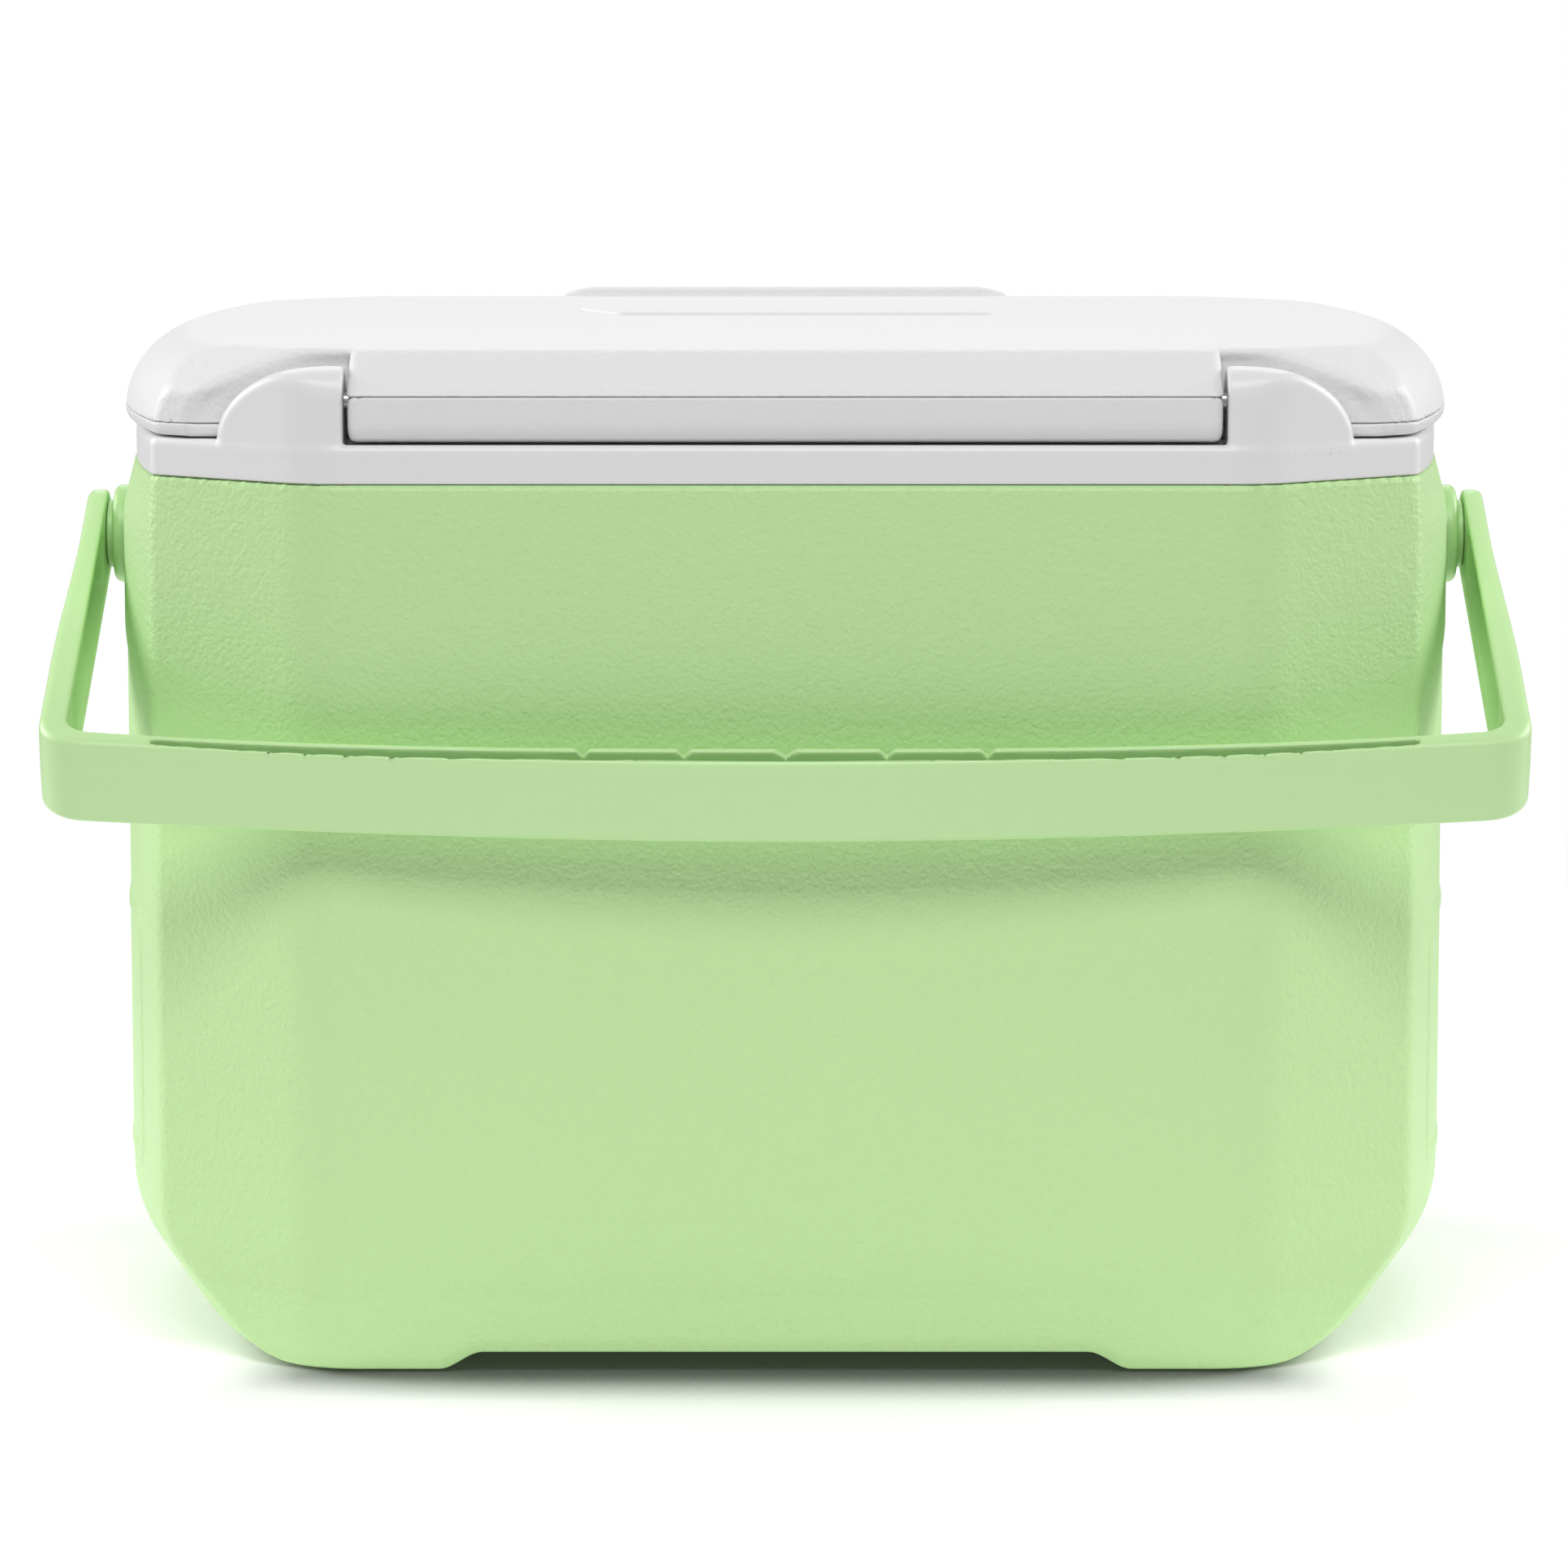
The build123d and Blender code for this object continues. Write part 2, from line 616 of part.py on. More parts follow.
# the corners beside the barrel stay solid behind the pockets' back wall
for sgn in (1, -1):
    hollow = hollow - Pos(sgn * (BARREL_HALF - LID_WALL + 30),
                          YC + POCKET_Y + LID_WALL - 20, 280) * Box(60, 40, 60)

with BuildPart() as lid_shell:
    add(lid_form(0, LID_PART))
    add(behind_hinge.part, mode=Mode.SUBTRACT)
    add(pocket_right, mode=Mode.SUBTRACT)
    add(pocket_left, mode=Mode.SUBTRACT)
    add(hollow, mode=Mode.SUBTRACT)
    # raised lift lip along the opening edge
    with BuildSketch(side.offset(-69)):
        with BuildLine():
            Polyline((108.5, 288), (109.0, 294.2), (114.5, 294.2),
                     (123.8, 286.5), (123.8, 281.0), (119.0, 281.0),
                     close=True)
        make_face()
    extrude(amount=138)
    add(hollow, mode=Mode.SUBTRACT)
    # top of the pin bores, above the parting line
    for sgn in (1, -1):
        with BuildSketch(Plane(origin=(sgn * BARREL_HALF, YC + HINGE_Y,
                                       HINGE_Z),
                               x_dir=(0, 1, 0), z_dir=(sgn, 0, 0))):
            Circle(PIN_R + PIN_RUN)
        extrude(amount=-17, mode=Mode.SUBTRACT)
lid_shell.part.label = "lid_shell"
export_step(lid_shell.part, "parts/lid_shell.step")

with BuildPart() as lid_foam:
    add(hollow)
    with BuildSketch(level(LID_PART)):
        add(plan(PLUG_IN + LID_WALL, soft=38, crisp=26))
    extrude(amount=-(LID_PART - LID_BOTTOM + 12 - LID_WALL), taper=6)
    with BuildSketch(level(LID_BOTTOM - 12)):
        with Locations((-60, 0), (60, 0)):
            Circle(9.0)
    extrude(amount=4.5, mode=Mode.SUBTRACT)
lid_foam.part.label = "lid_foam"
export_step(lid_foam.part, "parts/lid_foam.step")

# ---------------------------------------------------------------- handle
ca, sa = math.cos(math.radians(HANG)), math.sin(math.radians(HANG))
# plane of the handle: local x along the grip, local -y away from the pivots,
# local z the strap's upper side as it hangs
strap = Plane(origin=(0, YC, PIVOT_Z), x_dir=(1, 0, 0), z_dir=(0, -sa, ca))


def mirrored(pts):
    return [(-x, y) for x, y in pts] + list(reversed(pts[:-1]))


OUT_BOW = [(197.36, -143.98), (184, -145.3), (160, -147.5), (120, -150.6),
           (62, -153.9), (0, -155.4)]
IN_BOW = [(194.88, -137.04), (184, -138.4), (160, -140.95), (120, -143.85),
          (62, -145.8), (0, -146.2)]
OUT_CORNER = [(ARM_LOW, -130.45), (206.09, -139.57), (197.36, -143.98)]
IN_CORNER = [(ARM_IN, -129.6), (199.56, -134.52), (194.88, -137.04)]


def outer_outline():
    with BuildSketch(Plane.XY, mode=Mode.PRIVATE) as s_out:
        with BuildLine():
            Line((-ARM_OUT, 20), (-ARM_OUT, -24))
            Spline((-ARM_OUT, -24), (-ARM_LOW, -95),
                   tangents=[(0, -1), (0, -1)])
            Line((-ARM_LOW, -95), (-ARM_LOW, -130.45))
            ThreePointArc(*[(-x, y) for x, y in OUT_CORNER])
            Spline(*mirrored(OUT_BOW))
            ThreePointArc(*reversed(OUT_CORNER))
            Line((ARM_LOW, -130.45), (ARM_LOW, -95))
            Spline((ARM_LOW, -95), (ARM_OUT, -24),
                   tangents=[(0, 1), (0, 1)])
            Line((ARM_OUT, -24), (ARM_OUT, 20))
            Line((ARM_OUT, 20), (-ARM_OUT, 20))
        make_face()
    return s_out.sketch


with BuildPart() as handle_bail:
    with BuildSketch(strap.offset(-STRAP_HALF)):
        add(outer_outline())
    extrude(amount=2 * STRAP_HALF)
    # inside of the bail
    with BuildSketch(strap.offset(-30)):
        with BuildLine():
            Line((-ARM_IN, 30), (-ARM_IN, -129.6))
            ThreePointArc(*[(-x, y) for x, y in IN_CORNER])
            Spline(*mirrored(IN_BOW))
            ThreePointArc(*reversed(IN_CORNER))
            Line((ARM_IN, -129.6), (ARM_IN, 30))
            Line((ARM_IN, 30), (-ARM_IN, 30))
        make_face()
    extrude(amount=60, mode=Mode.SUBTRACT)
    # round ends about the pivots
    with BuildSketch(Plane(origin=(-230, YC, PIVOT_Z), x_dir=(0, -ca, -sa),
                           z_dir=(1, 0, 0))):
        with BuildLine():
            Line((0, STRAP_HALF), (175, STRAP_HALF))
            Line((175, STRAP_HALF), (175, -STRAP_HALF))
            Line((175, -STRAP_HALF), (0, -STRAP_HALF))
            ThreePointArc((0, -STRAP_HALF), (-STRAP_HALF, 0),
                          (0, STRAP_HALF))
        make_face()
    extrude(amount=460, mode=Mode.INTERSECT)
    # channel down the inside of each arm, and the socket for the stub
    for sgn in (1, -1):
        arm = Plane(origin=(sgn * (ARM_IN - 1), YC, PIVOT_Z),
                    x_dir=(0, -ca, -sa), z_dir=(sgn, 0, 0))
        with BuildSketch(arm):
            with Locations((68, 0)):
                RectangleRounded(104, 17.5, 4)
        extrude(amount=1 + ARM_OUT - ARM_IN - 2.4, mode=Mode.SUBTRACT)
        with BuildSketch(arm):
            Circle(STUB_R + 0.06)
        extrude(amount=1 + STUB_OUT + 0.4 - ARM_IN, mode=Mode.SUBTRACT)
    # long slot along the top of the grip
    rail = [(177, -141.3), (160, -143.0), (120, -146.1), (62, -148.2),
            (0, -148.65)]
    wide = [2.1, 2.3, 2.7, 3.9, 4.4]
    front_edge = [(x, y - w) for (x, y), w in zip(rail, wide)]
    with BuildSketch(strap.offset(STRAP_HALF + 1)):
        with BuildLine():
            Spline(*mirrored(rail))
            Line(rail[0], front_edge[0])
            Spline(*mirrored(front_edge))
            Line((-front_edge[0][0], front_edge[0][1]),
                 (-rail[0][0], rail[0][1]))
        make_face()
    extrude(amount=-16, mode=Mode.SUBTRACT)
    # small notches along the slot's rear rail
    with BuildSketch(Plane(origin=strap.from_local_coords((0, -141, 0)),
                           x_dir=(1, 0, 0), z_dir=(0, -ca, -sa))):
        for i in (-2, -1, 0, 1, 2):
            w = 2.2 if i == 0 else 1.5
            x0 = 28.2 * i
            with BuildLine(mode=Mode.PRIVATE) as notch_line:
                Polyline((x0 - w, -STRAP_HALF - 1), (x0 - w, -STRAP_HALF),
                         (x0 - w + 1.2, -STRAP_HALF + 1.6),
                         (x0 + w - 1.2, -STRAP_HALF + 1.6),
                         (x0 + w, -STRAP_HALF), (x0 + w, -STRAP_HALF - 1),
                         close=True)
            make_face(notch_line.edges())
    extrude(amount=8.2, mode=Mode.SUBTRACT)
handle_bail.part.label = "handle_bail"
export_step(handle_bail.part, "parts/handle_bail.step")

for p in (outer_shell, inner_liner, rim_collar, body_foam, base_port_plugs,
          pivot_screws, lid_pan, lid_port_plugs, lid_shell, lid_foam,
          handle_bail):
    bb = p.part.bounding_box()
    print(p.part.label, len(p.part.solids()), round(p.part.volume),
          [round(v, 1) for v in bb.min], [round(v, 1) for v in bb.max])
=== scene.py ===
import math
import bpy
import bmesh
import numpy as np
from mathutils import Vector, Matrix


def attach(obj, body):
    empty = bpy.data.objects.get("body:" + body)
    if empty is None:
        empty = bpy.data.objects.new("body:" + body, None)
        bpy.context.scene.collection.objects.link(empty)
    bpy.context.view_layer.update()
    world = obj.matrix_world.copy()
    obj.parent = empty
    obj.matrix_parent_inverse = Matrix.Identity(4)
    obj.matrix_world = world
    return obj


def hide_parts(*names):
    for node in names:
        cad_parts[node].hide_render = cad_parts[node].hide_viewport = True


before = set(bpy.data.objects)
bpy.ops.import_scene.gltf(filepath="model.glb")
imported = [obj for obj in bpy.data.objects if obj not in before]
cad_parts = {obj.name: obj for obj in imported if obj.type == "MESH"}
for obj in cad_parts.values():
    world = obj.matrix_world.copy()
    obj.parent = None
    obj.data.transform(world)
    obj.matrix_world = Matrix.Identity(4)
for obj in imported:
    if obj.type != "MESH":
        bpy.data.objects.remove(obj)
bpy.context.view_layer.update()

SC = 1.0

YC = 12.2                           # middle plane of the chest, mm
HY, HZ = -110.9, 277.5              # lid hinge axis, from the middle plane
PZ = 228.5                          # handle pivot height
HANG = math.radians(23.0)

# ------------------------------------------------------------ outline numbers
HD, FH, CXR, CYR, HW = 122.0, 134.0, 180.0, 92.5, 195.0
_n = math.hypot(CXR - FH, HD - CYR)
NX, NY = (HD - CYR) / _n, (CXR - FH) / _n
K0 = NX * FH + NY * HD
ER = (CYR ** 2 + (HW - CXR) ** 2) / (2 * (HW - CXR))
EC = HW - ER
CW = 191.0                          # the collar's end, at its middle
CR = (CYR ** 2 + (CW - CXR) ** 2) / (2 * (CW - CXR))
CC = CW - CR


# ------------------------------------------------------------ field helpers
def smax(a, b, k):
    h = np.maximum(k - np.abs(a - b), 0) / k
    return np.maximum(a, b) + h * h * (k * 0.25)


def smin(a, b, k):
    return -smax(-a, -b, k)


def step(x, lo, hi):
    t = np.clip((x - lo) / (hi - lo), 0, 1)
    return t * t * (3 - 2 * t)


def sides(A, B, t=0.0, k=5.0):
    return smax(B - HD + t, NX * A + NY * B - K0 + t, k)


def bow(A, Y, r=ER, c=EC):
    """Distance along X at the middle of a bowed end."""
    return np.sqrt((A - c) ** 2 + Y * Y) + c


def mouth(A, B, Y, t):
    return smax(sides(A, B, t, 14.0), bow(A, Y) - HW + t, 9.0)


def rod(u, v, r):
    return np.sqrt(u * u + v * v) - r


# ------------------------------------------------------------ surface maker
def surface(name, f, lo, hi, h, to_row, smooth_pass=1, flip=False):
    """A closed mesh on f = 0, f < 0 inside.  lo, hi and h in mm."""
    h = h * SC
    lo = np.array(lo, float); hi = np.array(hi, float)
    n = np.ceil((hi - lo) / h).astype(int) + 1
    ax = [lo[i] + h * np.arange(n[i]) for i in range(3)]
    F = np.empty(n, np.float32)
    step_x = max(1, int(1.5e6 // (n[1] * n[2])))
    for i in range(0, n[0], step_x):
        X = ax[0][i:i + step_x, None, None]
        F[i:i + step_x] = np.broadcast_to(
            f(X + 0 * ax[1][None, :, None] + 0 * ax[2][None, None, :],
              ax[1][None, :, None] + 0 * X + 0 * ax[2][None, None, :],
              ax[2][None, None, :] + 0 * X + 0 * ax[1][None, :, None]),
            F[i:i + step_x].shape)
    S = F < 0
    c = S[:-1, :-1, :-1].astype(np.int8)
    for d in ((1, 0, 0), (0, 1, 0), (0, 0, 1), (1, 1, 0), (1, 0, 1), (0, 1, 1), (1, 1, 1)):
        c = c + S[d[0]:n[0] - 1 + d[0], d[1]:n[1] - 1 + d[1], d[2]:n[2] - 1 + d[2]]
    act = np.argwhere((c > 0) & (c < 8))
    idx = -np.ones(c.shape, np.int64)
    idx[act[:, 0], act[:, 1], act[:, 2]] = np.arange(len(act))
    pos = np.zeros((len(act), 3)); cnt = np.zeros(len(act))
    corners = [(i, j, k) for i in (0, 1) for j in (0, 1) for k in (0, 1)]
    val = {cn: F[act[:, 0] + cn[0], act[:, 1] + cn[1], act[:, 2] + cn[2]].astype(float) for cn in corners}
    for a in corners:
        for m in range(3):
            if a[m] == 0:
                b = list(a); b[m] = 1; b = tuple(b)
                va, vb = val[a], val[b]
                hit = (va < 0) != (vb < 0)
                t = np.where(hit, va / np.where(hit, va - vb, 1), 0)
                p = np.array(a, float)[None, :].repeat(len(act), 0)
                p[:, m] += t
                pos[hit] += p[hit]; cnt[hit] += 1
    pos = (act + pos / cnt[:, None]) * h + lo
    quads = []
    for m in range(3):
        u, v = (m + 1) % 3, (m + 2) % 3
        s0 = [slice(None)] * 3; s1 = [slice(None)] * 3
        s0[m] = slice(0, n[m] - 1); s1[m] = slice(1, n[m])
        a, b = S[tuple(s0)], S[tuple(s1)]
        e = np.argwhere(a != b)
        keep = (e[:, u] > 0) & (e[:, v] > 0) & (e[:, u] < n[u] - 1) & (e[:, v] < n[v] - 1)
        e = e[keep]
        inside = a[e[:, 0], e[:, 1], e[:, 2]]
        q = []
        for du, dv in ((1, 1), (0, 1), (0, 0), (1, 0)):
            w = e.copy(); w[:, u] -= du; w[:, v] -= dv
            q.append(idx[w[:, 0], w[:, 1], w[:, 2]])
        q = np.stack(q, 1)
        q[~inside] = q[~inside][:, ::-1]
        quads.append(q)
    quads = np.concatenate(quads)
    if flip:
        quads = quads[:, ::-1].copy()

    def grad(P, e=0.05):
        g = np.empty_like(P)
        for i in range(3):
            d = np.zeros(3); d[i] = e
            a, b = P + d, P - d
            g[:, i] = (f(a[:, 0], a[:, 1], a[:, 2]) - f(b[:, 0], b[:, 1], b[:, 2])) / (2 * e)
        return g

    def settle(P, times):
        for _ in range(times):
            v = f(P[:, 0], P[:, 1], P[:, 2])
            g = grad(P)
            s = (g * g).sum(1)
            mv = -(v / np.maximum(s, 0.25))[:, None] * g
            ln = np.sqrt((mv * mv).sum(1))
            mv *= np.minimum(1, 0.45 * h / np.maximum(ln, 1e-9))[:, None]
            P = P + mv
        return P

    pos = settle(pos, 2)
    for _ in range(smooth_pass):
        acc = np.zeros_like(pos); num = np.zeros(len(pos))
        for i in range(4):
            j = (i + 1) % 4
            np.add.at(acc, quads[:, i], pos[quads[:, j]]); np.add.at(num, quads[:, i], 1)
            np.add.at(acc, quads[:, j], pos[quads[:, i]]); np.add.at(num, quads[:, j], 1)
        pos = settle(0.5 * pos + 0.5 * acc / np.maximum(num, 1)[:, None], 2)
    g = grad(pos, 0.12)
    g /= np.maximum(np.sqrt((g * g).sum(1)), 1e-9)[:, None]
    P, N = to_row(pos, g)
    me = bpy.data.meshes.new(name)
    me.vertices.add(len(P)); me.vertices.foreach_set("co", (P / 1000.0).ravel())
    me.loops.add(quads.size); me.loops.foreach_set("vertex_index", quads.ravel().astype(np.int32))
    me.polygons.add(len(quads))
    me.polygons.foreach_set("loop_start", np.arange(0, quads.size, 4, dtype=np.int32))
    me.polygons.foreach_set("use_smooth", np.ones(len(quads), bool))
    me.update(calc_edges=True)
    me.validate()
    me.normals_split_custom_set_from_vertices([tuple(v) for v in N])
    ob = bpy.data.objects.new(name, me)
    bpy.context.scene.collection.objects.link(ob)
    return ob


def mid(P, N):
    """Chest axes to the row's frame."""
    return P + np.array([0, YC, 0]), N


# ------------------------------------------------------------ materials
def nodes_of(name):
    m = bpy.data.materials.new(name)
    m.use_nodes = True
    nt = m.node_tree
    return m, nt, nt.nodes["Principled BSDF"]


def moulded(name, rgb, rough=0.42, grain=0.0, grain_size=1.7, speck=0.03, spec=0.5,
            fine=0.02, streak=0.0):
    """Moulded plastic: slight tone drift, fine surface texture and, where the
    tool was etched, a pebbled leather grain."""
    m, nt, bs = nodes_of(name)
    N, L = nt.nodes, nt.links
    tc = N.new("ShaderNodeTexCoord")
    drift = N.new("ShaderNodeTexNoise"); drift.inputs["Scale"].default_value = 9.0
    drift.inputs["Detail"].default_value = 3.0
    L.new(tc.outputs["Object"], drift.inputs["Vector"])
    ramp = N.new("ShaderNodeMix"); ramp.data_type = "RGBA"
    ramp.inputs[6].default_value = (*[c * (1 - speck) for c in rgb], 1)
    ramp.inputs[7].default_value = (*[min(1, c * (1 + speck)) for c in rgb], 1)
    L.new(drift.outputs["Fac"], ramp.inputs["Factor"])
    L.new(ramp.outputs[2], bs.inputs["Base Color"])
    # surface texture
    micro = N.new("ShaderNodeTexNoise"); micro.inputs["Scale"].default_value = 1400.0
    micro.inputs["Detail"].default_value = 2.0
    L.new(tc.outputs["Object"], micro.inputs["Vector"])
    b1 = N.new("ShaderNodeBump"); b1.inputs["Strength"].default_value = 1.0
    b1.inputs["Distance"].default_value = fine / 1000.0
    L.new(micro.outputs["Fac"], b1.inputs["Height"])
    last = b1
    if streak > 0:
        mp = N.new("ShaderNodeMapping"); mp.inputs["Scale"].default_value = (5, 380, 620)
        L.new(tc.outputs["Object"], mp.inputs["Vector"])
        ln = N.new("ShaderNodeTexNoise"); ln.inputs["Scale"].default_value = 1.0
        ln.inputs["Detail"].default_value = 4.0
        L.new(mp.outputs["Vector"], ln.inputs["Vector"])
        b3 = N.new("ShaderNodeBump"); b3.inputs["Strength"].default_value = 1.0
        b3.inputs["Distance"].default_value = streak / 1000.0
        L.new(ln.outputs["Fac"], b3.inputs["Height"])
        L.new(b1.outputs["Normal"], b3.inputs["Normal"])
        last = b3
    if grain > 0:
        warp = N.new("ShaderNodeTexNoise"); warp.inputs["Scale"].default_value = 420.0
        warp.inputs["Detail"].default_value = 2.0
        L.new(tc.outputs["Object"], warp.inputs["Vector"])
        mixv = N.new("ShaderNodeMix"); mixv.data_type = "VECTOR"
        mixv.inputs["Factor"].default_value = 0.0016
        L.new(tc.outputs["Object"], mixv.inputs[4])
        L.new(warp.outputs["Color"], mixv.inputs[5])
        vor = N.new("ShaderNodeTexVoronoi"); vor.feature = "SMOOTH_F1"
        vor.inputs["Scale"].default_value = 1000.0 / grain_size
        vor.inputs["Smoothness"].default_value = 0.6
        L.new(mixv.outputs[1], vor.inputs["Vector"])
        vor2 = N.new("ShaderNodeTexNoise")
        vor2.inputs["Scale"].default_value = 1000.0 / (grain_size * 1.6)
        vor2.inputs["Detail"].default_value = 3.0
        L.new(tc.outputs["Object"], vor2.inputs["Vector"])
        add = N.new("ShaderNodeMath"); add.operation = "MULTIPLY_ADD"
        add.inputs[1].default_value = -0.55
        L.new(vor.outputs["Distance"], add.inputs[0])
        L.new(vor2.outputs["Fac"], add.inputs[2])
        b2 = N.new("ShaderNodeBump"); b2.inputs["Strength"].default_value = 1.0
        b2.inputs["Distance"].default_value = grain / 1000.0
        L.new(add.outputs[0], b2.inputs["Height"])
        L.new(last.outputs["Normal"], b2.inputs["Normal"])
        last = b2
        # the grain's valleys are a touch duller
        rr = N.new("ShaderNodeMapRange")
        rr.inputs["To Min"].default_value = rough - 0.05
        rr.inputs["To Max"].default_value = rough + 0.10
        L.new(vor.outputs["Distance"], rr.inputs["Value"])
        L.new(rr.outputs["Result"], bs.inputs["Roughness"])
    else:
        rr = N.new("ShaderNodeMapRange")
        rr.inputs["To Min"].default_value = rough - 0.04
        rr.inputs["To Max"].default_value = rough + 0.06
        L.new(drift.outputs["Fac"], rr.inputs["Value"])
        L.new(rr.outputs["Result"], bs.inputs["Roughness"])
    L.new(last.outputs["Normal"], bs.inputs["Normal"])
    bs.inputs["Specular IOR Level"].default_value = spec
    return m


def metal(name, rgb, rough):
    m, nt, bs = nodes_of(name)
    N, L = nt.nodes, nt.links
    tc = N.new("ShaderNodeTexCoord")
    mp = N.new("ShaderNodeMapping"); mp.inputs["Scale"].default_value = (30, 900, 900)
    L.new(tc.outputs["Object"], mp.inputs["Vector"])
    no = N.new("ShaderNodeTexNoise"); no.inputs["Scale"].default_value = 1.0
    L.new(mp.outputs["Vector"], no.inputs["Vector"])
    rr = N.new("ShaderNodeMapRange"); rr.inputs["To Min"].default_value = rough - 0.08
    rr.inputs["To Max"].default_value = rough + 0.12
    L.new(no.outputs["Fac"], rr.inputs["Value"]); L.new(rr.outputs["Result"], bs.inputs["Roughness"])
    mx = N.new("ShaderNodeMix"); mx.data_type = "RGBA"
    mx.inputs[6].default_value = (*[c * 0.85 for c in rgb], 1)
    mx.inputs[7].default_value = (*rgb, 1)
    L.new(no.outputs["Fac"], mx.inputs["Factor"]); L.new(mx.outputs[2], bs.inputs["Base Color"])
    b = N.new("ShaderNodeBump"); b.inputs["Distance"].default_value = 0.00002
    L.new(no.outputs["Fac"], b.inputs["Height"]); L.new(b.outputs["Normal"], bs.inputs["Normal"])
    bs.inputs["Metallic"].default_value = 1.0
    return m


def foam_mat(name, rgb):
    m, nt, bs = nodes_of(name)
    N, L = nt.nodes, nt.links
    tc = N.new("ShaderNodeTexCoord")
    vo = N.new("ShaderNodeTexVoronoi"); vo.inputs["Scale"].default_value = 900.0
    L.new(tc.outputs["Object"], vo.inputs["Vector"])
    mx = N.new("ShaderNodeMix"); mx.data_type = "RGBA"
    mx.inputs[6].default_value = (*rgb, 1); mx.inputs[7].default_value = (*[c * 0.7 for c in rgb], 1)
    L.new(vo.outputs["Distance"], mx.inputs["Factor"]); L.new(mx.outputs[2], bs.inputs["Base Color"])
    b = N.new("ShaderNodeBump"); b.inputs["Distance"].default_value = 0.0003
    L.new(vo.outputs["Distance"], b.inputs["Height"]); L.new(b.outputs["Normal"], bs.inputs["Normal"])
    bs.inputs["Roughness"].default_value = 0.9
    return m


GREEN = (0.555, 0.82, 0.38)
M_SHELL = moulded("shell_green", GREEN, rough=0.46, grain=0.34, grain_size=1.35, speck=0.012)
M_HANDLE = moulded("handle_green", (0.57, 0.84, 0.40), rough=0.36, speck=0.01, fine=0.008)
M_LID = moulded("lid_white", (0.82, 0.82, 0.82), rough=0.48, grain=0.22, grain_size=1.3, speck=0.008)
M_COLLAR = moulded("collar_white", (0.81, 0.81, 0.812), rough=0.38, speck=0.008, fine=0.006)
# painted shade: the pan gets a slightly darker white than the lid, to darken the shaded hinge barrel
M_PAN = moulded("pan_white", (0.79, 0.79, 0.792), rough=0.40, speck=0.01, fine=0.01, streak=0.10)
M_LINER = moulded("liner_white", (0.80, 0.805, 0.80), rough=0.35, speck=0.01, fine=0.01)
M_PLUG = moulded("plug_grey", (0.66, 0.66, 0.66), rough=0.45, speck=0.02, fine=0.02)
M_BACK = moulded("backing_dark", (0.06, 0.062, 0.065), rough=0.5, speck=0.1, fine=0.03)
M_STEEL = metal("zinc_steel", (0.62, 0.63, 0.65), 0.32)
M_FOAM = foam_mat("urethane_foam", (0.80, 0.68, 0.40))


def dress(ob, mat):
    ob.data.materials.clear()
    ob.data.materials.append(mat)


# ------------------------------------------------------------ outer shell
def shell_out(X, Y, Z):
    A, B = np.abs(X), np.abs(Y)
    tuck = np.maximum(39 - Z, 0)
    tz = np.minimum(tuck * 0.128, tuck * tuck * 0.008)
    side = sides(A, B, 0, 5.0) + tz
    xe = bow(A, Y)
    fall = 1 - np.minimum(B / CYR, 1) ** 2
    xe = xe + 4.2 * step(Z, 236, 262) * fall
    zb = 207 - 30 * (B / CYR) ** 2
    xe = xe - 0.7 * step(Z, zb - 1.6, zb + 1.6) * (1 - step(Z, 236, 256))
    low = 0.8251 * xe - 0.565 * Z - 140.68
    end = smax(xe - HW, low, 5.4)
    # plain raised plaque on each end
    pq = np.maximum(B - 62, np.abs(Z - 88) - 31)
    pr = np.sqrt(np.maximum(B - 62, 0) ** 2 + np.maximum(np.abs(Z - 88) - 31, 0) ** 2)
    d = np.where(pq > 0, pr, pq) - 6.5
    rise = 0.55 * (1 - step(d, -0.6, 0.6)) - 0.35 * (1 - step(d, -4.6, -3.6))
    end = end + 0.15 - rise
    body = smax(side, end, 1.6)
    under = 5.2 * (1 - step(A, 86.5, 99.0)) - Z
    return np.maximum(smax(side, under, 6.0), np.maximum(smax(end, under, 9.5), body))


def shell_f(X, Y, Z):
    o = shell_out(X, Y, Z)
    A = np.abs(X)
    hole = np.maximum(o + 3.0, 8.2 - Z)
    f = smax(smax(o, Z - 254.8, 0.9), -hole, 0.6)
    seat = np.maximum(rod(Y, Z - PZ, 14.8), 194.4 - A)
    f = smax(f, -seat, 0.8)
    bore = np.maximum(rod(Y, Z - PZ, 9.05), 180 - A)
    f = np.maximum(f, -bore)
    port = np.minimum(rod(X - 45, Y, 11.0), rod(X + 45, Y, 11.0))
    return np.maximum(f, -np.maximum(port, Z - 20))


shell = surface("v_outer_shell", shell_f, (-198, -125, -3), (198, 125, 257), 1.5 / SC, mid)
dress(shell, M_SHELL)
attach(shell, "chest"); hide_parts("outer_shell")


# ------------------------------------------------------------ rim collar
def collar_out(A, B, Y, t=0.0):
    return smax(sides(A, B, t, 5.0), bow(A, Y, CR, CC) - CW + t, 1.4)


